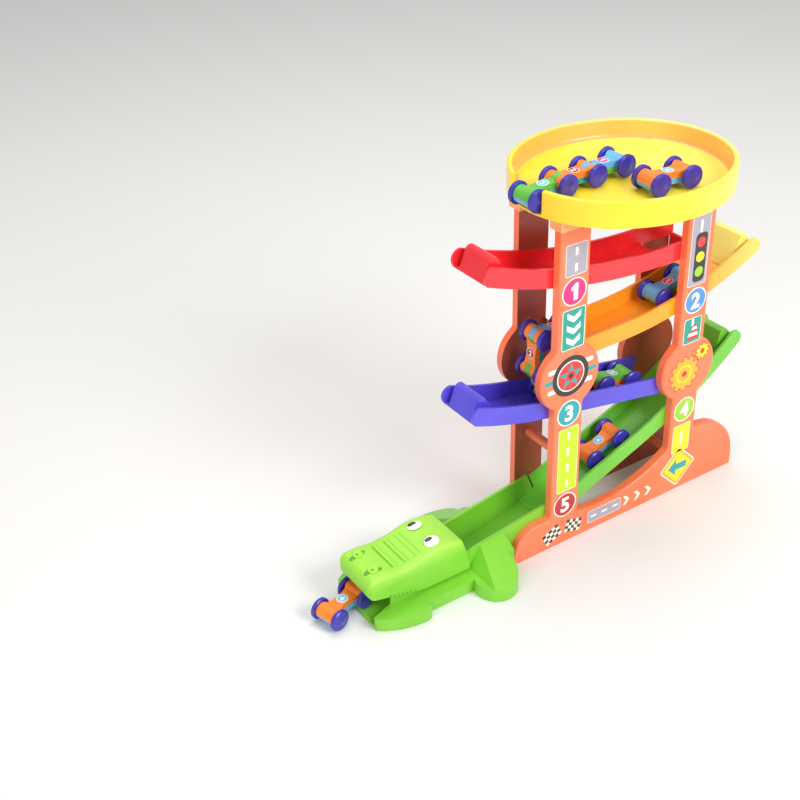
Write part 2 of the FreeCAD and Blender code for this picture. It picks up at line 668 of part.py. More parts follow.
def make_croc_head():
    """The upper head: a hollow cap that sits on the channel's walls over the mouth."""
    body = new_body("croc_head")
    side_view = [
        ("head_back + 6", "head_low"),
        ("head_front + 59", "head_low"),
        ("head_front + 50", "head_lip - 8 - 30 * tooth_slope"),
        ("head_front + 20", "head_lip - 8"),
        ("head_front + 4", "head_lip - 4"),
        ("head_front + 1", "head_lip"),
        ("head_front", "head_lip + 3", "12", -1),
        ("head_front + 7", "head_snout + 1", "60", -1),
        ("head_back - 70", "head_snout - 0.5", "90", 1),
        ("head_back - 38", "head_crown - 3", "60", -1),
        ("head_back", "head_crown - 6.5"),
        ("head_back + 6", "head_low + 14"),
    ]
    pad(body, new_sketch(body, "XZ_Plane", [side_view]), "2 * head_half")

    def long_top(edge):
        middle = edge.valueAt((edge.FirstParameter + edge.LastParameter) / 2)
        on_side = all(abs(abs(v.Y) - value("head_half")) < 1e-6 for v in edge.Vertexes)
        return on_side and middle.z > value("head_lip + 5") and middle.x > value("head_front + head_corner")

    corners = []
    for side in (-1, 1):
        corners.append([
            ("head_front - 3", f"{side} * (head_half - head_corner)"),
            ("head_front", f"{side} * (head_half - head_corner)", "head_corner", -side),
            ("head_front + head_corner", f"{side} * head_half"),
            ("head_front + head_corner", f"{side} * (head_half + 3)"),
            ("head_front - 3", f"{side} * (head_half + 3)"),
        ])
    pocket(body, new_sketch(body, "XY_Plane", corners), "3 * head_crown")
    round_edges(body, "head_round", long_top)
    low = [
        ("head_front - 5", "0"),
        ("head_back + 9", "0"),
        ("head_back + 9", "run_wall_front + 0.4"),
        ("head_front - 5", "run_wall_front + 0.4"),
    ]
    pocket(body, new_sketch(body, "XZ_Plane", [low]), "panel_gap")
    high = [
        ("head_front + 7", "run_wall_front - 1"),
        ("head_back + 9", "run_wall_front - 1"),
        ("head_back + 9", "head_snout - head_wall"),
        ("head_front + 7", "head_snout - head_wall"),
    ]
    pocket(body, new_sketch(body, "XZ_Plane", [high]), "panel_gap - 2 * side_gap - 2 * run_wall - 1")
    teeth = []
    for i in range(7):
        x = f"(head_front + 20 + {i} * tooth_pitch)"
        gum = f"(head_lip - 8 - {i} * tooth_pitch * tooth_slope)"
        teeth.append([
            (f"{x}", f"{gum} - 3"),
            (f"{x} + tooth_pitch * 0.8", f"{gum} - 3"),
            (f"{x} + tooth_pitch * 0.4", f"{gum} + tooth_deep"),
        ])
    pocket(body, new_sketch(body, "XZ_Plane", teeth), "2 * head_half + 2")
    for i in range(3):
        x = f"(ridge_place + {i} * ridge_pitch)"
        top = "head_snout - 2" if i < 2 else "head_snout - 1"
        bar = [
            (f"{x} - 1.5", "-ridge_half"),
            (f"{x} + 1.5", "-ridge_half"),
            (f"{x} + 1.5", "ridge_half"),
            (f"{x} - 1.5", "ridge_half"),
        ]
        pad(body, new_sketch(body, "XY_Plane", [bar], offset=top), "3", False)
    bumps = [("nostril_place", f"{side} * nostril_shift", "4.5") for side in (-1, 1)]
    pad(body, new_sketch(body, "XY_Plane", circles=bumps, offset="head_snout - 1"), "4", False)
    holes = [("nostril_place - 1", f"{side} * nostril_shift", "1.6") for side in (-1, 1)]
    pocket(body, new_sketch(body, "XY_Plane", circles=holes, offset="head_snout + 1"), "4", False, True)
    return body


# Cars

def car_half(label, front_end, back_end, badge):
    """Half of a car body in its own frame: axles at plus and minus half the wheelbase, split at their height."""
    body = new_body(label)
    front = "wheelbase / 2"
    meet = "sqrt(hub_radius ^ 2 - waist_up ^ 2)"
    side_view = [
        (f"-{front} - hub_radius", "0"),
        (f"{front} + hub_radius", "0", "hub_radius", 1),
        (f"{front}", "hub_radius", "hub_radius", 1),
        (f"{front} - {meet}", "waist_up"),
        (f"-{front} + {meet}", "waist_up", "hub_radius", 1),
        (f"-{front}", "hub_radius", "hub_radius", 1),
    ]
    pad(body, new_sketch(body, "XZ_Plane", [side_view]), "2 * hub_half")
    reach = "waist_reach"
    deep = "(hub_half - waist_half)"
    hollow = f"({reach} ^ 2 + {deep} ^ 2) / (2 * {deep})"
    sides = []
    for side in (-1, 1):
        sides.append([
            (f"-{reach}", f"{side} * hub_half", hollow, side),
            (reach, f"{side} * hub_half"),
            (reach, f"{side} * (hub_half + 2)"),
            (f"-{reach}", f"{side} * (hub_half + 2)"),
        ])
    pocket(body, new_sketch(body, "XY_Plane", sides), "4 * hub_radius")
    ends = {front: front_end, f"-{front}": back_end}
    for axle, kind in ends.items():
        if kind == "fork":
            slot = new_sketch(body, "XZ_Plane", circles=[(axle, "0", "hub_radius + knuckle_gap")])
            pocket(body, slot, "2 * knuckle_half + 2 * knuckle_gap")
        if kind == "tongue":
            out = 1 if axle == front else -1
            cheeks = []
            for side in (-1, 1):
                cheeks.append([
                    (f"{axle} - {out} * (hub_radius + knuckle_gap)", f"{side} * knuckle_half"),
                    (f"{axle} + {out} * (hub_radius + 1)", f"{side} * knuckle_half"),
                    (f"{axle} + {out} * (hub_radius + 1)", f"{side} * (hub_half + 1)"),
                    (f"{axle} - {out} * (hub_radius + knuckle_gap)", f"{side} * (hub_half + 1)"),
                ])
            pocket(body, new_sketch(body, "XY_Plane", cheeks), "4 * hub_radius")
    if badge:
        disc = new_sketch(body, "XY_Plane", circles=[("0", "0", "badge_radius")], offset="waist_up - 0.2")
        pad(body, disc, "badge_up + 0.2", False)
    bores = [(axle, "0", "axle_radius + axle_gap") for axle in ends]
    pocket(body, new_sketch(body, "XZ_Plane", circles=bores), "3 * hub_half")
    return body


def wheel_pair(label):
    """Two domed wheels on one axle line; each has a blind bore that grips the axle."""
    body = new_body(label)
    outer = "(wheel_inner + wheel_thick)"
    rim = f"({outer} - wheel_dome)"
    dome = "((wheel_radius - 1) ^ 2 + wheel_dome ^ 2) / (2 * wheel_dome)"
    half = [
        ("wheel_inner", "axle_radius"),
        (f"{outer} - 2", "axle_radius"),
        (f"{outer} - 2", "0"),
        (outer, "0", dome, -1),
        (rim, "wheel_radius - 1"),
        (f"{rim} - 1", "wheel_radius"),
        ("wheel_inner + 0.8", "wheel_radius"),
        ("wheel_inner", "wheel_radius - 0.8"),
    ]
    sk = new_sketch(body, "YZ_Plane", [half])
    spun = body.newObject("PartDesign::Revolution", label + "_spun")
    spun.Profile = sk
    spun.ReferenceAxis = (sk, ["H_Axis"])
    spun.Angle = 360
    doc.recompute()
    mirrored = body.newObject("PartDesign::Mirrored", label + "_mirrored")
    mirrored.Originals = [spun]
    mirrored.MirrorPlane = (sk, ["V_Axis"])
    body.Tip = mirrored
    return body


AXLE_LENGTH = "2 * (wheel_inner + wheel_thick - 2.2)"


def axle_rod(label):
    """The steel axle that both wheels are pressed on."""
    rod = doc.addObject("Part::Cylinder", label)
    rod.Label = label
    bind(rod, "Radius", "axle_radius")
    bind(rod, "Height", AXLE_LENGTH)
    return rod


def wheelset(label):
    """Two wheels and their axle in one node, each a solid of its own."""
    wheels = wheel_pair(label + "_pair")
    rod = axle_rod(label + "_rod")
    lay_across(rod)
    group = doc.addObject("Part::Compound", label)
    group.Label = label
    group.Links = [wheels, rod]
    return group


def lay_across(rod):
    """Lays an axle along the width of a car, its middle at the origin."""
    rod.Placement = FreeCAD.Placement(FreeCAD.Vector(0, value(AXLE_LENGTH) / 2, 0),
                                      FreeCAD.Rotation(FreeCAD.Vector(1, 0, 0), 90))


def on_line(spot, point, pitch=0.0):
    """Placement at a point (along, up) of the upright plane that starts at a spot (x, y) and is turned by yaw."""
    x, y, yaw = spot
    turn = FreeCAD.Placement(FreeCAD.Vector(x, y, 0), FreeCAD.Rotation(FreeCAD.Vector(0, 0, 1), yaw))
    lift = FreeCAD.Rotation(FreeCAD.Vector(0, -1, 0), pitch)
    return turn.multiply(FreeCAD.Placement(FreeCAD.Vector(point[0], 0, point[1]), lift))


def rail_track(rail, along, out):
    """World point (x, z) at a distance along a rail's underside and out from it."""
    straight = value(f"{rail}_straight")
    if along <= straight:
        x, z = (value(text) for text in on_straight(rail, str(along), str(out)))
    else:
        angle = value(f"{rail}_slope") + math.degrees((along - straight) / value(f"{rail}_bend"))
        x, z = (value(text) for text in on_bend(rail, str(angle), str(out)))
    return (value(f"{rail}_end") + RAILS[rail] * x, value(f"{rail}_up") + z)


def rail_axles(rail, low):
    """The low and high axle of a car that stands on a rail, its low axle at a distance along it."""
    out = value("rail_floor + wheel_radius + wheel_gap")
    first = rail_track(rail, low, out)
    step = value("wheelbase")
    for _ in range(8):
        second = rail_track(rail, low + step, out)
        step += value("wheelbase") - math.dist(first, second)
    return sorted((first, second))


def chain_axles(start, angles):
    """Axle points of coupled cars from the first axle and each car's slope in degrees."""
    points = [start]
    for angle in angles:
        x, z = points[-1]
        run = value("wheelbase")
        points.append((x + run * math.cos(math.radians(angle)), z + run * math.sin(math.radians(angle))))
    return points


tray_axle_up = value("panel_height + tray_floor + wheel_radius + wheel_gap")
ground_axle_up = value("wheel_radius + wheel_gap")

# Each car train: name, its cars' names, its spot (x, y, turn) and its axle points (along, up) from the front on
TRAINS = [
    ("chain", ["lead", "middle", "tail"], (-98.8, 1.8, 3.2),
     chain_axles((0.0, tray_axle_up - 3.7), [6.4, 0.0, 0.0])),
    ("tray_car", [""], (-5.6, -41.0, -3.0), chain_axles((0.0, tray_axle_up), [0.0])),
    ("flip_chain", ["lead", "middle", "tail"], (0.0, 0.0, 0.0),
     chain_axles(rail_track("blue", 129.0, value("rail_floor + wheel_radius + wheel_gap")),
                 [117.0, 84.0, -5.0])),
    ("mouth_car", [""], (-309.5, 0.3, 14.0), chain_axles((0.0, ground_axle_up), [5.2])),
    ("orange_rail_car", [""], (0.0, 0.0, 0.0), rail_axles("orange", 110.5)),
    ("blue_rail_car", [""], (0.0, 0.0, 0.0), rail_axles("blue", 34.0)),
    ("green_rail_car", [""], (0.0, 0.0, 0.0), rail_axles("green", 55.0)),
]


def make_train(name, cars, spot, axles):
    """A car, or coupled cars: two body halves for each, and wheels and an axle at each axle point."""
    made = []
    half_turn = FreeCAD.Placement(FreeCAD.Vector(), FreeCAD.Rotation(FreeCAD.Vector(1, 0, 0), 180))
    for i, car in enumerate(cars):
        stem = "_".join(part for part in (name, car) if part)
        front_end = "full" if i == 0 else "tongue" if i == 2 else "fork"
        back_end = "full" if i == len(cars) - 1 else "tongue" if i == 0 else "fork"
        one, other = axles[i], axles[i + 1]
        middle = ((one[0] + other[0]) / 2, (one[1] + other[1]) / 2)
        where = on_line(spot, middle, math.degrees(math.atan2(other[1] - one[1], other[0] - one[0])))
        top = car_half(stem + "_top", back_end, front_end, True)
        bottom = car_half(stem + "_bottom", back_end, front_end, False)
        top.Placement = where
        bottom.Placement = where.multiply(half_turn)
        made += [top, bottom]
    for i, point in enumerate(axles):
        where = on_line(spot, point)
        if len(cars) == 1:
            both = wheelset(f"{name}_wheelset_{i + 1}")
            both.Placement = where
            made.append(both)
            continue
        wheels = wheel_pair(f"{name}_wheels_{i + 1}")
        wheels.Placement = where
        axle = axle_rod(f"{name}_axle_{i + 1}")
        lay_across(axle)
        axle.Placement = where.multiply(axle.Placement)
        made += [wheels, axle]
    return made


def main():
    parts = [make_panel("panel_front", True), make_panel("panel_rear", False)]
    parts += [make_rail(rail) for rail in RAILS]
    parts.append(make_tray())
    parts.append(make_rod("cross_rod_left", "pillar_left", "rod_left_up"))
    parts.append(make_rod("cross_rod_right", "pillar_right", "rod_right_up"))
    parts.append(make_croc_base())
    parts.append(make_croc_head())
    for name, cars, spot, axles in TRAINS:
        parts += make_train(name, cars, spot, axles)
    doc.recompute()
    failed = [o.Label for o in doc.Objects if "Invalid" in o.State or "Error" in o.State]
    for obj in parts:
        if obj.Shape.isNull() or not obj.Shape.isValid():
            failed.append(obj.Label)
    if failed:
        raise RuntimeError("failed: " + ", ".join(failed))
    os.makedirs("parts", exist_ok=True)
    to_middle = FreeCAD.Vector(value("centre_shift"), 0, 0)
    for obj in parts:
        shape = obj.Shape.copy()
        shape.translate(to_middle)
        shape.exportStep(f"parts/{obj.Label}.step")
    print(len(parts), "parts written")


main()
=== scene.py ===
import bmesh
import bpy
import math
from mathutils import Euler, Matrix, Vector


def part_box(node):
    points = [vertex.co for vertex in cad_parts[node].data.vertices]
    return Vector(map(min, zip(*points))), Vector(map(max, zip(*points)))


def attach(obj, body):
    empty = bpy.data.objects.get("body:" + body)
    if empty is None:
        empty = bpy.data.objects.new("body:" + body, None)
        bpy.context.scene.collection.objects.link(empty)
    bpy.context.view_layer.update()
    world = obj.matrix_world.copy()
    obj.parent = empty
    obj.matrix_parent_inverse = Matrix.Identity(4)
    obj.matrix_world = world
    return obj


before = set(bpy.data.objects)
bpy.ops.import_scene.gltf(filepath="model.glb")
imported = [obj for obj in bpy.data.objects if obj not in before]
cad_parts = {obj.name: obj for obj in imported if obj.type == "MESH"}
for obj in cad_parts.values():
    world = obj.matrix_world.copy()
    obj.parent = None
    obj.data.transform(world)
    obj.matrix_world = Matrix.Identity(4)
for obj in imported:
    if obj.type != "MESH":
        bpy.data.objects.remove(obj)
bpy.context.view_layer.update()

MM = 0.001


# Side panels
# Two moulded boards of coral orange plastic stand upright 46 mm apart and carry everything else.
# They are injection moulded in one piece each, with a smooth, slightly uneven gloss.

def paint(code, alpha=1.0):
    """A screen colour such as "FF8A60" as the linear colour that shaders use."""
    parts = [int(code[i:i + 2], 16) / 255 for i in (0, 2, 4)]
    return tuple(((c + 0.055) / 1.055) ** 2.4 if c > 0.04045 else c / 12.92 for c in parts) + (alpha,)


def moulding_group():
    """Uneven colour, gloss and skin of a moulded plastic part."""
    group = bpy.data.node_groups.new("moulded_skin", "ShaderNodeTree")
    sockets = (("Coordinates", "INPUT", "NodeSocketVector"), ("Colour", "INPUT", "NodeSocketColor"),
               ("Deep Colour", "INPUT", "NodeSocketColor"), ("Gloss", "INPUT", "NodeSocketFloat"),
               ("Colour", "OUTPUT", "NodeSocketColor"), ("Roughness", "OUTPUT", "NodeSocketFloat"),
               ("Height", "OUTPUT", "NodeSocketFloat"))
    for name, side, kind in sockets:
        group.interface.new_socket(name, in_out=side, socket_type=kind)
    add, link = group.nodes.new, group.links.new
    into, out = add("NodeGroupInput"), add("NodeGroupOutput")
    flow, skin, dust = add("ShaderNodeTexNoise"), add("ShaderNodeTexNoise"), add("ShaderNodeTexNoise")
    flow.inputs["Scale"].default_value = 14.0
    flow.inputs["Detail"].default_value = 3.0
    skin.inputs["Scale"].default_value = 420.0
    skin.inputs["Detail"].default_value = 2.0
    dust.inputs["Scale"].default_value = 90.0
    dust.inputs["Detail"].default_value = 5.0
    for noise in (flow, skin, dust):
        link(into.outputs["Coordinates"], noise.inputs["Vector"])
    mix = add("ShaderNodeMix")
    mix.data_type = "RGBA"
    spread = add("ShaderNodeMapRange")
    spread.inputs["From Min"].default_value = 0.35
    spread.inputs["From Max"].default_value = 0.7
    link(flow.outputs["Fac"], spread.inputs["Value"])
    link(spread.outputs["Result"], mix.inputs["Factor"])
    link(into.outputs["Colour"], mix.inputs["A"])
    link(into.outputs["Deep Colour"], mix.inputs["B"])
    link(mix.outputs["Result"], out.inputs["Colour"])
    gloss = add("ShaderNodeMapRange")
    gloss.inputs["From Min"].default_value = 0.3
    gloss.inputs["From Max"].default_value = 0.75
    gloss.inputs["To Min"].default_value = -0.05
    gloss.inputs["To Max"].default_value = 0.07
    total = add("ShaderNodeMath")
    total.operation = "ADD"
    link(dust.outputs["Fac"], gloss.inputs["Value"])
    link(gloss.outputs["Result"], total.inputs[0])
    link(into.outputs["Gloss"], total.inputs[1])
    link(total.outputs["Value"], out.inputs["Roughness"])
    link(skin.outputs["Fac"], out.inputs["Height"])
    return group


MOULDED_SKIN = moulding_group()


def moulded(name, colour, deep, gloss=0.32, skin=0.03):
    """A moulded plastic finish with its own two shades."""
    mat = bpy.data.materials.new(name)
    mat.use_nodes = True
    add, link = mat.node_tree.nodes.new, mat.node_tree.links.new
    shader = mat.node_tree.nodes["Principled BSDF"]
    place = add("ShaderNodeTexCoord")
    body = add("ShaderNodeGroup")
    body.node_tree = MOULDED_SKIN
    body.inputs["Colour"].default_value = paint(colour)
    body.inputs["Deep Colour"].default_value = paint(deep)
    body.inputs["Gloss"].default_value = gloss
    bump = add("ShaderNodeBump")
    bump.inputs["Strength"].default_value = skin
    bump.inputs["Distance"].default_value = 0.0004
    link(place.outputs["Object"], body.inputs["Coordinates"])
    link(body.outputs["Colour"], shader.inputs["Base Color"])
    link(body.outputs["Roughness"], shader.inputs["Roughness"])
    link(body.outputs["Height"], bump.inputs["Height"])
    link(bump.outputs["Normal"], shader.inputs["Normal"])
    shader.inputs["Coat Weight"].default_value = 0.15
    shader.inputs["Coat Roughness"].default_value = 0.12
    return mat


def dress(node, material):
    """Gives a CAD node its finish."""
    slots = bpy.data.objects[node].data.materials
    slots.clear()
    slots.append(material)


def object_axes(material):
    """The X, Y and Z of the finish's object coordinates."""
    nodes, link = material.node_tree.nodes, material.node_tree.links.new
    place = next(n for n in nodes if n.type == "TEX_COORD")
    split = nodes.new("ShaderNodeSeparateXYZ")
    link(place.outputs["Object"], split.inputs["Vector"])
    return split.outputs


def tint(material, share, colour):
    """Mixes another shade into a finish by the share that a node gives."""
    add, link = material.node_tree.nodes.new, material.node_tree.links.new
    shader = material.node_tree.nodes["Principled BSDF"]
    before = shader.inputs["Base Color"].links[0].from_socket
    mix = add("ShaderNodeMix")
    mix.data_type = "RGBA"
    mix.inputs["B"].default_value = paint(colour)
    link(share, mix.inputs["Factor"])
    link(before, mix.inputs["A"])
    link(mix.outputs["Result"], shader.inputs["Base Color"])


def rising_share(material, value, start, end):
    """A share that rises from 0 to 1 while a value runs from start to end."""
    span = material.node_tree.nodes.new("ShaderNodeMapRange")
    span.inputs["From Min"].default_value = start
    span.inputs["From Max"].default_value = end
    material.node_tree.links.new(value, span.inputs["Value"])
    return span.outputs["Result"]


def calculated(material, operation, first, *numbers):
    """A value worked out from another value, or from two, and from plain numbers."""
    node = material.node_tree.nodes.new("ShaderNodeMath")
    node.operation = operation
    material.node_tree.links.new(first, node.inputs[0])
    for i, number in enumerate(numbers, 1):
        if isinstance(number, bpy.types.NodeSocket):
            material.node_tree.links.new(number, node.inputs[i])
        else:
            node.inputs[i].default_value = number
    return node.outputs["Value"]


def shade_along(material, axis, start, end, colour):
    """Mixes another shade into a finish where its object axis runs from start to end."""
    tint(material, rising_share(material, object_axes(material)[axis], start, end), colour)


coral = moulded("coral_plastic", "FF8258", "FA7648")
dress("panel_front", coral)
# Painted shade: the inner face of the rear panel is darkened to a brownish red, for the shade that falls on
# it between the panels.
coral_painted_shade_inside = moulded("coral_plastic_rear_painted_shade", "FF7A4C", "F86C3E")
INNER_FACE = 0.0234
INNER_FADE = 0.0004
shade_along(coral_painted_shade_inside, "Y", INNER_FACE + INNER_FADE, INNER_FACE, "9C4A38")
dress("panel_rear", coral_painted_shade_inside)
PANEL_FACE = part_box("panel_front")[0][1]
# The tower's middle along X; the pillars and the drawings on the panel are measured from it
TOWER = 0.08226
PILLAR_LEFT = -0.0743
PILLAR_RIGHT = 0.0704


# Cross rods
# Two plain rods of the same coral plastic hold the panels apart below the rails.
# They are pushed into round sockets of the panels.

rod_coral = moulded("rod_plastic", "F07A4C", "E0643A", gloss=0.4)
for node in ("cross_rod_left", "cross_rod_right"):
    dress(node, rod_coral)


# Rails
# Four troughs of coloured plastic hang between the panels, each moulded with its side walls and stop wedge.
# Pegs on their sides sit in the panels, and the cars run down them from side to side.

def shade_where(material, colour, tests):
    """Mixes another shade into a finish where every value is within half a span of its middle."""
    share = None
    for value, middle, half in tests:
        inside = calculated(material, "COMPARE", value, middle, half)
        share = inside if share is None else calculated(material, "MULTIPLY", share, inside)
    tint(material, share, colour)


rail_red = moulded("rail_red_plastic", "F2303A", "E0222C", gloss=0.24)
rail_orange = moulded("rail_orange_plastic", "FFAA28", "FA9C1A", gloss=0.24)
# Painted light: the rail turns paler yellow towards its high end, where more light falls on it.
shade_along(rail_orange, "X", TOWER + 0.085, TOWER + 0.15, "FBCE60")
# Painted highlight: the stop wedge at its high end, whose faces turn up to the light, is painted a paler
# yellow
WEDGE_MIDDLE, WEDGE_HALF_LONG, WEDGE_HALF_WIDE = TOWER + 0.1405, 0.0165, 0.0162
axes = object_axes(rail_orange)
wedge_highlight_area = ((axes["X"], WEDGE_MIDDLE, WEDGE_HALF_LONG), (axes["Y"], 0, WEDGE_HALF_WIDE))
shade_where(rail_orange, "F4EE7C", wedge_highlight_area)
rail_blue = moulded("rail_violet_plastic", "5A50D8", "4E44C8", gloss=0.24)
rail_green = moulded("rail_green_plastic", "76CC40", "66BC34", gloss=0.24)
for node, finish in (("rail_red", rail_red), ("rail_orange", rail_orange), ("rail_blue", rail_blue),
                     ("rail_green", rail_green)):
    dress(node, finish)


# Tray
# A large oval dish of warm yellow plastic sits on top, with a gap in its rim where cars leave.
# Painted shade makes the inner side of its rim more peach, the corner round its floor more orange and the
# sleeves under it peach; a painted reflection makes it paler towards its right side.

PILLAR_TOP = 0.3324
TRAY_FLOOR = 0.3380


def tray_finish():
    """Yellow, with painted shade that makes the sleeves below the floor peach and the corner and inner wall
    round the floor more orange, and a painted reflection that pales it towards +X.
    """
    mat = moulded("tray_plastic", "FFE03A", "FFD62A", gloss=0.3)
    add, link = mat.node_tree.nodes.new, mat.node_tree.links.new
    # Painted reflection: the yellow pales towards +X
    shade_along(mat, "X", TOWER - 0.02, TOWER + 0.10, "FFEA6E")
    # Painted shade: the sleeves below the floor, over the pillar tops, turn peach
    shade_along(mat, "Z", PILLAR_TOP + 0.0002, PILLAR_TOP - 0.0002, "FBB070")
    low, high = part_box("tray")
    half_long, half_wide = (high[0] - low[0]) / 2, (high[1] - low[1]) / 2
    place = next(n for n in mat.node_tree.nodes if n.type == "TEX_COORD")
    middle = add("ShaderNodeMapping")
    middle.inputs["Scale"].default_value = (1 / half_long, 1 / half_wide, 0)
    middle.inputs["Location"].default_value = (-TOWER / half_long, 0, 0)
    reach = add("ShaderNodeVectorMath")
    reach.operation = "LENGTH"
    # The reach is 0 at the tray's middle and 1 at its outer edge
    corner_shade_ring = add("ShaderNodeValToRGB")
    stops = corner_shade_ring.color_ramp.elements
    stops[0].position, stops[1].position = 0.885, 0.965
    for stop in stops:
        stop.color = (0, 0, 0, 1)
    for position, strength in ((0.91, 1.0), (0.95, 0.8)):
        stops.new(position).color = (strength, strength, strength, 1)
    link(place.outputs["Object"], middle.inputs["Vector"])
    link(middle.outputs["Vector"], reach.inputs[0])
    link(reach.outputs["Value"], corner_shade_ring.inputs["Fac"])
    # Painted shade: the ring along the inner wall and the corner round the floor, above the floor's level,
    # turns more orange
    above = rising_share(mat, object_axes(mat)["Z"], TRAY_FLOOR + 0.0002, TRAY_FLOOR + 0.0010)
    tint(mat, calculated(mat, "MULTIPLY", corner_shade_ring.outputs["Color"], above), "F8A85C")
    return mat


dress("tray", tray_finish())


# Crocodile
# The run-out is a lime green crocodile: a lower jaw with paws and a channel, and a head that clips over it.
# Its eyes are printed white ovals with dark pupils, and the cars come out of its mouth.

lime = moulded("crocodile_plastic", "80CC36", "74C02E", gloss=0.36)
dress("croc_base", lime)
lime_head = moulded("crocodile_head_plastic", "86D238", "7AC62F", gloss=0.44)
# Painted highlight: the head is a paler lime towards its top, where the light falls
shade_along(lime_head, "Z", 0.036, 0.052, "A4E046")
# Painted shade: two narrow strips beside each of the three ridges on the snout are a little darker, for the
# shade in the grooves there
RIDGE_SPACING = 0.012
FIRST_RIDGE = TOWER - 0.252
axes = object_axes(lime_head)
from_first = calculated(lime_head, "SUBTRACT", axes["X"], FIRST_RIDGE)
from_nearest = calculated(lime_head, "PINGPONG", from_first, RIDGE_SPACING / 2)
groove_shade_area = ((from_nearest, 0.0024, 0.0006), (axes["X"], FIRST_RIDGE + RIDGE_SPACING, 0.016),
              (axes["Y"], 0, 0.0175), (axes["Z"], 0.0505, 0.005))
shade_where(lime_head, "84CC36", groove_shade_area)
dress("croc_head", lime_head)


FILM_DEEPEST = 0.93


def film(name, colour, gloss=0.38):
    """Printed vinyl film: one colour that is hardly uneven, with fine print grain."""
    mat = moulded(name, colour, colour, gloss=gloss, skin=0.01)
    body = next(n for n in mat.node_tree.nodes if n.type == "GROUP")
    body.inputs["Deep Colour"].default_value = tuple(c * FILM_DEEPEST for c in paint(colour)[:3]) + (1.0,)
    return mat


def finish_piece(name, mesh, materials, body):
    """Makes a finished bmesh an object that rides on a body."""
    bmesh.ops.recalc_face_normals(mesh, faces=mesh.faces)
    data = bpy.data.meshes.new(name)
    mesh.to_mesh(data)
    mesh.free()
    obj = bpy.data.objects.new(name, data)
    bpy.context.scene.collection.objects.link(obj)
    for material in materials:
        data.materials.append(material)
    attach(obj, body)
    return obj


eye_white = film("eye_white_film", "F6F7F2", 0.25)
eye_dark = film("eye_dark_film", "23302B", 0.2)


def domed_oval(mesh, centre, size, lift, turn, index):
    """A shallow domed oval with a rolled edge, flat side down."""
    made = bmesh.ops.create_uvsphere(mesh, u_segments=32, v_segments=16, radius=1.0)
    verts = made["verts"]
    below = [v for v in verts if v.co.z < -0.2]
    bmesh.ops.delete(mesh, geom=below, context="VERTS")
    verts = [v for v in verts if v.is_valid]
    place = Matrix.Translation(centre) @ turn.to_4x4() @ Matrix.Diagonal((size[0], size[1], lift, 1))
    bmesh.ops.transform(mesh, matrix=place, verts=verts)
    for face in {f for v in verts for f in v.link_faces}:
        face.material_index = index
        face.smooth = True


EYE_ALONG, EYE_ASIDE, EYE_UP = TOWER - 0.211, 0.0135, 0.0536
EYE_LEAN_OUT, EYE_LEAN_FORWARD = -10, -5
for side in (-1, 1):
    mesh = bmesh.new()
    lean = Euler((math.radians(EYE_LEAN_OUT * side), math.radians(EYE_LEAN_FORWARD), 0)).to_matrix()
    centre = Vector((EYE_ALONG, side * EYE_ASIDE, EYE_UP))
    domed_oval(mesh, centre, (0.0074, 0.0062), 0.0018, lean, 0)
    pupil = centre + Vector((-0.0014, 0.0017, 0.0010))
    domed_oval(mesh, pupil, (0.0043, 0.0026), 0.0013, lean, 1)
    name = "eye_left" if side > 0 else "eye_right"
    finish_piece(name, mesh, [eye_white, eye_dark], "tower")

# Painted shade: two shallow dark green domed ovals stand for the shade in the dents before and behind each
# nostril
dent_shade_green = moulded("dent_painted_shade", "5FAE28", "539E22", gloss=0.5)
DENT_UP = 0.0486
DENT_TURN = Euler((0, 0, math.radians(20))).to_matrix()
for side in (-1, 1):
    mesh = bmesh.new()
    for along, aside in ((TOWER - 0.2765, 0.0120), (TOWER - 0.2660, 0.0140)):
        centre = Vector((along, side * aside, DENT_UP))
        domed_oval(mesh, centre, (0.0034, 0.0024), 0.0009, DENT_TURN, 0)
    name = "nostril_shade_left" if side > 0 else "nostril_shade_right"
    finish_piece(name, mesh, [dent_shade_green], "tower")


# Stickers on the front panel
# Printed vinyl stickers: road strips, chevrons, number circles, a traffic light, a cone and flags, and a
# wheel, gears and a way sign as the large pictures. Each is a thin film laid on the panel's smooth face.

# Thickness of the film, and how much higher each printed layer shows
FILM = 0.00012
LAYER = 0.00005
cream = film("film_cream", "FFF6E4")
grey = film("film_grey", "A9A6B4")
teal = film("film_teal", "17A08F")
lime_film = film("film_lime", "C6E41A")
yellow_film = film("film_yellow", "FFE21A")
black_film = film("film_black", "33292B")
red_film = film("film_red", "D8352C")
pink_film = film("film_pink", "E0257D")
blue_film = film("film_blue", "4C95E0")
sea_film = film("film_sea", "1FA3AE")
light_green_film = film("film_light_green", "9BD02C")
dark_red_film = film("film_dark_red", "C2262B")
amber_film = film("film_amber", "FFB52E")


def lay(part, layer, index):
    """Gives a flat shape drawn as (x, z) its thickness and lays it on the front panel."""
    made = bmesh.ops.extrude_face_region(part, geom=part.faces[:])
    top = [v for v in made["geom"] if isinstance(v, bmesh.types.BMVert)]
    bmesh.ops.translate(part, verts=top, vec=(0, 0, FILM + LAYER * layer))
    stand = Matrix.Translation((TOWER, PANEL_FACE + LAYER, 0)) @ Matrix.Rotation(math.radians(90), 4, "X")
    bmesh.ops.transform(part, matrix=stand, verts=part.verts)
    for face in part.faces:
        face.material_index = index


def draw(part, corners, radius):
    """A flat shape with rounded corners; corners are (x, z) in millimetres."""
    verts = [part.verts.new((x * MM, z * MM, 0)) for x, z in corners]
    part.faces.new(verts)
    if radius > 0:
        bmesh.ops.bevel(part, geom=verts, offset=radius * MM, segments=5, profile=0.5, affect="VERTICES",
                        material=-1)


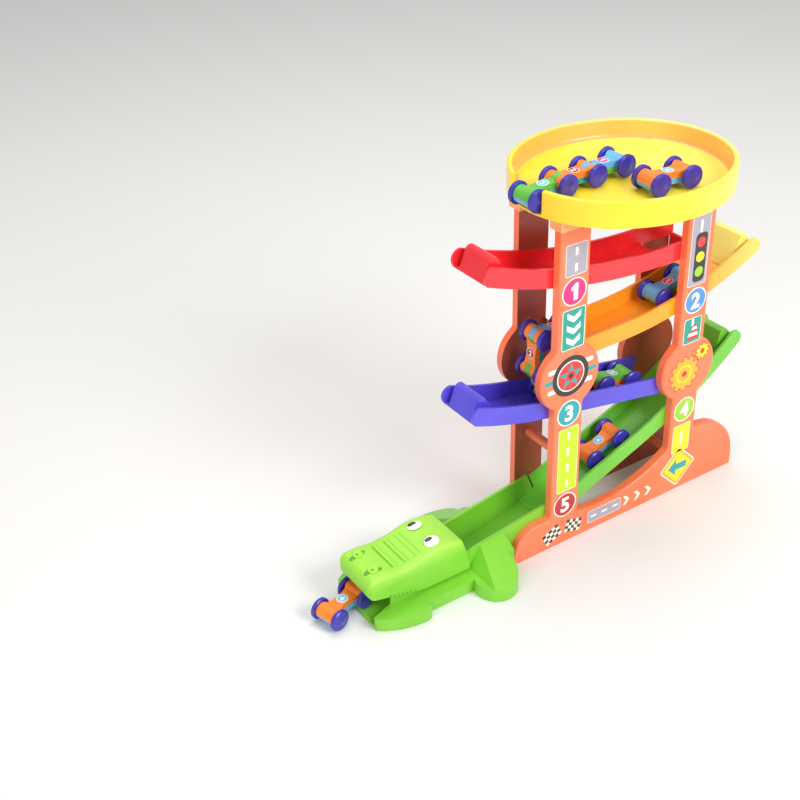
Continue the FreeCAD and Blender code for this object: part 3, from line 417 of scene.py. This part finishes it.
def sticker(name, drawing, materials):
    """One sticker made of film patches, each drawn in its own small mesh and joined."""
    whole = bmesh.new()
    for shape in drawing:
        part = bmesh.new()
        kind, args, layer, index = shape
        if kind == "box":
            x0, z0, x1, z1, radius = args
            draw(part, [(x0, z0), (x1, z0), (x1, z1), (x0, z1)], radius)
        elif kind == "shape":
            draw(part, *args)
        else:
            x, z, radius = args
            made = bmesh.ops.create_circle(part, cap_ends=True, segments=48, radius=radius * MM)
            bmesh.ops.translate(part, verts=made["verts"], vec=(x * MM, z * MM, 0))
        lay(part, layer, index)
        data = bpy.data.meshes.new("shape")
        part.to_mesh(data)
        part.free()
        whole.from_mesh(data)
        bpy.data.meshes.remove(data)
    return finish_piece(name, whole, materials, "tower")


def road(name, x0, z0, x1, z1, surface, upright=True, dashes=3):
    """A road strip with a pale edge and dashes along its middle."""
    drawing = [("box", (x0, z0, x1, z1, 2.0), 0, 0),
               ("box", (x0 + 0.5, z0 + 0.5, x1 - 0.5, z1 - 0.5, 1.7), 1, 1)]
    start, end = (z0, z1) if upright else (x0, x1)
    middle = (x0 + x1) / 2 if upright else (z0 + z1) / 2
    step = (end - start) / dashes
    for i in range(dashes):
        low = start + step * (i + 0.25)
        high = start + step * (i + 0.75)
        if upright:
            box = (middle - 1.4, low, middle + 1.4, high, 0.3)
        else:
            box = (low, middle - 1.0, high, middle + 1.0, 0.3)
        drawing.append(("box", box, 2, 0))
    return sticker(name, drawing, [cream, surface])


def chevron(x, z, wide, deep, thick, turn):
    """The six corners of a chevron that points down when turn is 0."""
    half = wide / 2
    points = [(-half, deep / 2), (0, -deep / 2), (half, deep / 2), (half, deep / 2 + thick),
              (0, -deep / 2 + thick), (-half, deep / 2 + thick)]
    c, s = math.cos(turn), math.sin(turn)
    return [(x + px * c - pz * s, z + px * s + pz * c) for px, pz in points]


road("sticker_road_top", -85, 280, -62, 309, grey, dashes=2)
road("sticker_road_lime", -85, 59, -62, 129, lime_film, dashes=4)
road("sticker_road_foot", -45, 7.5, -4, 21.5, grey, upright=False, dashes=3)
road("sticker_road_light", 58, 226, 80, 296, grey, dashes=3)
road("sticker_road_yellow", 58.5, 44, 81, 76, yellow_film, dashes=1)

drawing = [("box", (-86, 210, -61, 249, 2.0), 0, 0), ("box", (-85.3, 210.7, -61.7, 248.3, 1.6), 1, 1)]
for z in (217, 228.5, 240):
    drawing.append(("shape", (chevron(-73.5, z - 2, 15, 5, 5.5, 0), 0), 2, 0))
sticker("sticker_chevrons", drawing, [cream, teal])

drawing = [("shape", (chevron(x, 14.5, 10.5, 4.5, 4.0, math.radians(90)), 0), 0, 0) for x in (5, 19, 33)]
sticker("sticker_arrows", drawing, [cream])

drawing = [("box", (63.5, 229.5, 77.5, 277.5, 4.0), 3, 0)]
for z, index in ((268.5, 1), (254, 2), (239.5, 3)):
    drawing.append(("disc", (70.5, z, 5.0), 4, index))
sticker("sticker_traffic_light", drawing, [black_film, red_film, yellow_film, light_green_film])

drawing = [("box", (59.5, 166, 81, 192.5, 2.0), 0, 0), ("box", (60.2, 166.7, 80.3, 191.8, 1.6), 1, 1),
           ("box", (68.4, 184, 71.2, 191, 0.3), 2, 0),
           ("shape", ([(64, 169.5), (78, 169.5), (74.5, 185), (71.5, 185)], 0.4), 2, 2),
           ("shape", ([(64.9, 173), (77.3, 173), (76.5, 176.5), (65.8, 176.5)], 0), 3, 0),
           ("shape", ([(68.9, 179.3), (75.9, 179.3), (75.1, 182.5), (70.3, 182.5)], 0), 3, 0)]
sticker("sticker_cone", drawing, [cream, teal, red_film])

NUMBERS = (("1", PILLAR_LEFT, 0.2649, pink_film), ("2", PILLAR_RIGHT, 0.2102, blue_film),
           ("3", PILLAR_LEFT, 0.1446, sea_film), ("4", PILLAR_RIGHT, 0.0927, light_green_film),
           ("5", PILLAR_LEFT, 0.0438, dark_red_film))
NUMBER_RING, NUMBER_DISC = 13.2, 12.0
for text, x, z, colour in NUMBERS:
    drawing = [("disc", (x / MM, z / MM, NUMBER_RING), 0, 0), ("disc", (x / MM, z / MM, NUMBER_DISC), 1, 1)]
    sticker("sticker_number_" + text, drawing, [cream, colour])


def star(x, z, outer, inner, count, turn=0.0):
    """Corners of a star."""
    points = []
    for i in range(count * 2):
        radius = outer if i % 2 == 0 else inner
        angle = turn + math.pi * i / count
        points.append((x + radius * math.cos(angle), z + radius * math.sin(angle)))
    return points


def gear(x, z, outer, inner, count):
    """Corners of a gear with flat teeth."""
    points = []
    step = math.tau / count
    for i in range(count):
        for share, radius in ((-0.3, inner), (-0.2, outer), (0.2, outer), (0.3, inner)):
            angle = step * (i + share)
            points.append((x + radius * math.cos(angle), z + radius * math.sin(angle)))
    return points


x, z = PILLAR_LEFT / MM, 183
drawing = []
for i, reach in enumerate((25, 29, 25)):
    up = z - 10 + 10 * i
    for start, end in ((x - reach, x - 14), (x + 14, x + reach)):
        drawing.append(("box", (start, up - 2.2, end, up + 2.2, 1.6), 0, 1 if i == 1 else 0))
drawing += [("disc", (x, z, 20), 1, 2), ("disc", (x, z, 15.2), 2, 0), ("disc", (x, z, 14.0), 3, 3)]
drawing += [("shape", (star(x, z, 13.2, 5.4, 5, math.radians(90)), 0.6), 4, 1), ("disc", (x, z, 5.4), 5, 3),
            ("disc", (x, z, 2.6), 6, 2)]
sticker("sticker_wheel", drawing, [cream, sea_film, black_film, red_film])

x, z = PILLAR_RIGHT / MM, 137
drawing = [("shape", (gear(x - 5, z - 3, 19.4, 16.0, 12), 0.4), 0, 0),
           ("shape", (gear(x - 5, z - 3, 18.0, 14.8, 12), 0.4), 1, 2),
           ("disc", (x - 5, z - 3, 9.4), 2, 1), ("disc", (x - 5, z - 3, 7.8), 3, 2),
           ("disc", (x - 5, z - 3, 3.2), 4, 0),
           ("shape", (gear(x + 16, z + 15, 9.4, 7.4, 9), 0.3), 2, 0),
           ("shape", (gear(x + 16, z + 15, 8.2, 6.4, 9), 0.3), 3, 1), ("disc", (x + 16, z + 15, 2.8), 4, 0)]
sticker("sticker_gears", drawing, [red_film, yellow_film, amber_film])

x, z = 69, 26.5
drawing = [("shape", ([(x, z - half), (x + half, z), (x, z + half), (x - half, z)], half / 7), layer, layer)
           for layer, half in enumerate((23.5, 21.8, 18.5))]
drawing.append(("shape", ([(x - 12.5, z), (x - 2.5, z - 9.5), (x - 2.5, z - 3.6), (x + 11.5, z - 3.6),
                           (x + 11.5, z + 3.6), (x - 2.5, z + 3.6), (x - 2.5, z + 9.5)], 0.6), 3, 3))
sticker("sticker_way_sign", drawing, [cream, amber_film, yellow_film, sea_film])


# A bold one with a flag, drawn for a text size of ONE_SIZE, and how much bolder the other numerals are made
ONE = ((-3.6, 4), (0.4, 7.5), (3.4, 7.5), (3.4, -7.5), (-1.2, -7.5), (-1.2, 2.6), (-3.6, 1.2))
ONE_SIZE = 20.5
BOLDER = 0.035


def numeral(name, text, size, place, material, body, thick=0.0002):
    """A printed numeral as a thin raised mesh, its middle at its place."""
    mesh = bmesh.new()
    if text == "1":
        mesh.faces.new([mesh.verts.new((x * size / ONE_SIZE, y * size / ONE_SIZE, 0)) for x, y in ONE])
        made = bmesh.ops.extrude_face_region(mesh, geom=mesh.faces[:])
        bmesh.ops.translate(mesh, vec=(0, 0, thick),
                            verts=[v for v in made["geom"] if isinstance(v, bmesh.types.BMVert)])
    else:
        curve = bpy.data.curves.new(name, "FONT")
        curve.body = text
        curve.size = size
        curve.extrude = thick / 2
        curve.offset = size * BOLDER
        curve.resolution_u = 4
        holder = bpy.data.objects.new(name + "_curve", curve)
        bpy.context.scene.collection.objects.link(holder)
        bpy.context.view_layer.update()
        data = bpy.data.meshes.new_from_object(holder)
        bpy.data.objects.remove(holder)
        bpy.data.curves.remove(curve)
        mesh.from_mesh(data)
        bpy.data.meshes.remove(data)
        bmesh.ops.remove_doubles(mesh, verts=mesh.verts, dist=1e-6)
    middle = [(min(v.co[i] for v in mesh.verts) + max(v.co[i] for v in mesh.verts)) / -2 for i in (0, 1)]
    bmesh.ops.translate(mesh, verts=mesh.verts, vec=(*middle, 0))
    bmesh.ops.transform(mesh, matrix=place, verts=mesh.verts)
    return finish_piece(name, mesh, [material], body)


NUMERAL_SIZE = 0.0215
upright = Matrix.Rotation(math.radians(90), 4, "X")
for text, x, z, colour in NUMBERS:
    place = Matrix.Translation((TOWER + x, PANEL_FACE - FILM * 2, z)) @ upright
    numeral("numeral_" + text, text, NUMERAL_SIZE, place, cream, "tower")


FLAG_COLUMNS, FLAG_ROWS = 5, 4


def flag(name, origin, along, down):
    """A checkered flag sticker: a slanted grid of dark and pale squares."""
    mesh = bmesh.new()
    bmesh.ops.create_grid(mesh, x_segments=FLAG_COLUMNS, y_segments=FLAG_ROWS, size=0.5)
    middle_x = TOWER + (origin[0] + (along[0] + down[0]) / 2) * MM
    middle_z = (origin[1] + (along[1] + down[1]) / 2) * MM
    place = Matrix(((along[0] * MM, -down[0] * MM, 0, middle_x),
                    (0, 0, 1, PANEL_FACE - FILM),
                    (along[1] * MM, -down[1] * MM, 0, middle_z),
                    (0, 0, 0, 1)))
    for face in mesh.faces:
        middle = face.calc_center_median()
        column, row = int((middle.x + 0.5) * FLAG_COLUMNS), int((middle.y + 0.5) * FLAG_ROWS)
        face.material_index = (column + row) % 2
    bmesh.ops.transform(mesh, matrix=place, verts=mesh.verts)
    made = bmesh.ops.extrude_face_region(mesh, geom=mesh.faces[:])
    bmesh.ops.translate(mesh, vec=(0, FILM * 1.5, 0),
                        verts=[v for v in made["geom"] if isinstance(v, bmesh.types.BMVert)])
    return finish_piece(name, mesh, [cream, black_film], "tower")


flag("sticker_flag_left", (-100, 16), (17.5, 9), (6, -12.5))
flag("sticker_flag_right", (-70.5, 24), (18, -5), (-3.5, -13))


# Cars
# Small waisted cars of two plastic halves, each half its own colour, on violet wheels and steel axles.
# A round sticker with a number sits on each one's middle; three of them are coupled in a row.

car_orange = moulded("car_orange_plastic", "FF8A2B", "F67A1C", gloss=0.27)
car_blue = moulded("car_light_blue_plastic", "6BB7EA", "58A8E0", gloss=0.27)
car_green = moulded("car_green_plastic", "6CC24A", "58B038", gloss=0.27)
car_teal = moulded("car_teal_plastic", "2E9AB0", "2389A0", gloss=0.27)
wheel_violet = moulded("wheel_violet_plastic", "3B35A8", "302A92", gloss=0.3)


def steel_finish():
    mat = bpy.data.materials.new("axle_steel")
    mat.use_nodes = True
    add, link = mat.node_tree.nodes.new, mat.node_tree.links.new
    shader = mat.node_tree.nodes["Principled BSDF"]
    place, draw, rough = add("ShaderNodeTexCoord"), add("ShaderNodeTexNoise"), add("ShaderNodeMapRange")
    draw.inputs["Scale"].default_value = 700.0
    rough.inputs["To Min"].default_value = 0.22
    rough.inputs["To Max"].default_value = 0.42
    link(place.outputs["Object"], draw.inputs["Vector"])
    link(draw.outputs["Fac"], rough.inputs["Value"])
    link(rough.outputs["Result"], shader.inputs["Roughness"])
    shader.inputs["Base Color"].default_value = paint("C9CBCF")
    shader.inputs["Metallic"].default_value = 1.0
    return mat


axle_steel = steel_finish()
badge_light = film("badge_light_blue", "6FC3F0", 0.3)
badge_pink = film("badge_pink", "E8308A", 0.3)
badge_red = film("badge_dark_red", "B3242A", 0.3)
# Each car: its name, the number of its front wheels where it is coupled, top, underside, badge and numeral
CARS = (
    ("chain_lead", 1, car_green, car_blue, badge_light, "3"),
    ("chain_middle", 2, car_orange, car_teal, badge_red, "2"),
    ("chain_tail", 3, car_blue, car_green, badge_pink, "1"),
    ("flip_chain_lead", 1, car_green, car_orange, badge_light, "3"),
    ("flip_chain_middle", 2, car_orange, car_teal, badge_red, "2"),
    ("flip_chain_tail", 3, car_blue, car_green, badge_pink, "1"),
    ("tray_car", None, car_orange, car_blue, badge_light, "4"),
    ("mouth_car", None, car_orange, car_blue, badge_light, "4"),
    ("orange_rail_car", None, car_blue, car_green, badge_pink, "1"),
    ("blue_rail_car", None, car_green, car_orange, badge_light, "3"),
    ("green_rail_car", None, car_orange, car_blue, badge_light, "4"),
)
BADGE_UP = 0.0057
BADGE_RING, BADGE_DISC = 0.0052, 0.0045
RING_THICK, DISC_THICK = 0.00012, 0.00022
BADGE_NUMERAL = 0.0076
for car, first, top, under, colour, text in CARS:
    body = car if first else car + "_body"
    wheels = car.rsplit("_", 1)[0] + "_wheels_" if first else car + "_wheelset_"
    front = first or 1
    dress(car + "_top", top)
    dress(car + "_bottom", under)
    boxes = [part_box(wheels + str(number)) for number in (front, front + 1)]
    ends = [(Vector(box[0]) + Vector(box[1])) / 2 for box in boxes]
    along = (ends[1] - ends[0]).normalized()
    across = Vector((0, 0, 1)).cross(along).normalized()
    if across.y < 0:
        across.negate()
    up = along.cross(across)
    place = Matrix((along, across, up)).transposed().to_4x4()
    place.translation = (ends[0] + ends[1]) / 2 + up * BADGE_UP
    mesh = bmesh.new()
    for radius, height, index in ((BADGE_RING, RING_THICK, 0), (BADGE_DISC, DISC_THICK, 1)):
        made = bmesh.ops.create_cone(mesh, cap_ends=True, segments=40, radius1=radius, radius2=radius,
                                     depth=height * 2)
        for face in {f for v in made["verts"] for f in v.link_faces}:
            face.material_index = index
    bmesh.ops.transform(mesh, matrix=place, verts=mesh.verts)
    finish_piece(car + "_badge", mesh, [cream, colour], body)
    # The numeral stands across the car, its top towards the second pair of wheels
    face_up = Matrix((-across, along, up)).transposed().to_4x4()
    face_up.translation = place.translation + up * DISC_THICK
    numeral(car + "_numeral", text, BADGE_NUMERAL, face_up, cream, body, thick=0.00016)
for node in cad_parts:
    if "_wheels_" in node or "_wheelset_" in node:
        dress(node, wheel_violet)
    elif "_axle_" in node:
        dress(node, axle_steel)


# Floor and light
# A plain pale floor under soft studio lamps: a large key lamp in front, a broad fill and one from above.

def floor_finish():
    mat = bpy.data.materials.new("floor_pale")
    mat.use_nodes = True
    add, link = mat.node_tree.nodes.new, mat.node_tree.links.new
    shader = mat.node_tree.nodes["Principled BSDF"]
    place, cloud, shade = add("ShaderNodeTexCoord"), add("ShaderNodeTexNoise"), add("ShaderNodeMix")
    shade.data_type = "RGBA"
    cloud.inputs["Scale"].default_value = 3.0
    shade.inputs["A"].default_value = (0.78, 0.77, 0.75, 1)
    shade.inputs["B"].default_value = (0.8, 0.79, 0.775, 1)
    link(place.outputs["Object"], cloud.inputs["Vector"])
    link(cloud.outputs["Fac"], shade.inputs["Factor"])
    link(shade.outputs["Result"], shader.inputs["Base Color"])
    shader.inputs["Roughness"].default_value = 0.85
    return mat


mesh = bmesh.new()
bmesh.ops.create_grid(mesh, x_segments=2, y_segments=2, size=6.0)
data = bpy.data.meshes.new("floor")
mesh.to_mesh(data)
mesh.free()
data.materials.append(floor_finish())
floor = bpy.data.objects.new("floor", data)
floor.location.z = -0.0002
bpy.context.scene.collection.objects.link(floor)

world = bpy.context.scene.world or bpy.data.worlds.new("studio")
bpy.context.scene.world = world
world.use_nodes = True
world.node_tree.nodes["Background"].inputs["Color"].default_value = (1.0, 1.0, 1.0, 1)
world.node_tree.nodes["Background"].inputs["Strength"].default_value = 0.55
# Each lamp: its name, where it stands, its size and its power
LAMPS = (("key_lamp", (0.43, -1.5, 1.3), 0.9, 26), ("fill_lamp", (-1.62, -0.7, 0.9), 1.4, 12),
         ("top_lamp", (0.18, 0.4, 1.8), 1.2, 14))
LIT_SPOT = Vector((0.022, 0, 0.16))
for name, spot, size, power in LAMPS:
    lamp = bpy.data.lights.new(name, "AREA")
    lamp.energy = power
    lamp.size = size
    holder = bpy.data.objects.new(name, lamp)
    holder.location = spot
    holder.rotation_euler = (LIT_SPOT - Vector(spot)).to_track_quat("-Z", "Y").to_euler()
    bpy.context.scene.collection.objects.link(holder)
bpy.context.scene.view_settings.view_transform = "Standard"


# Camera
# It stands where the photograph was taken from: up to the left in front of the toy, tipped a little.

CAMERA_SPOT = (-0.60219, -0.72625, 0.74953)
CAMERA_TURN, CAMERA_DOWN, CAMERA_ROLL = -32.54, 31.97, -2.065
lens = bpy.data.cameras.new("camera")
lens.sensor_width = 36.0
lens.lens = 56.08
lens.shift_x = -0.0096
lens.shift_y = -0.0183
camera = bpy.data.objects.new("camera", lens)
tilt = Euler((math.radians(90 - CAMERA_DOWN), 0, math.radians(CAMERA_TURN))).to_matrix()
turned = tilt @ Matrix.Rotation(math.radians(CAMERA_ROLL), 3, "Z")
camera.matrix_world = Matrix.Translation(CAMERA_SPOT) @ turned.to_4x4()
bpy.context.scene.collection.objects.link(camera)
bpy.context.scene.camera = camera
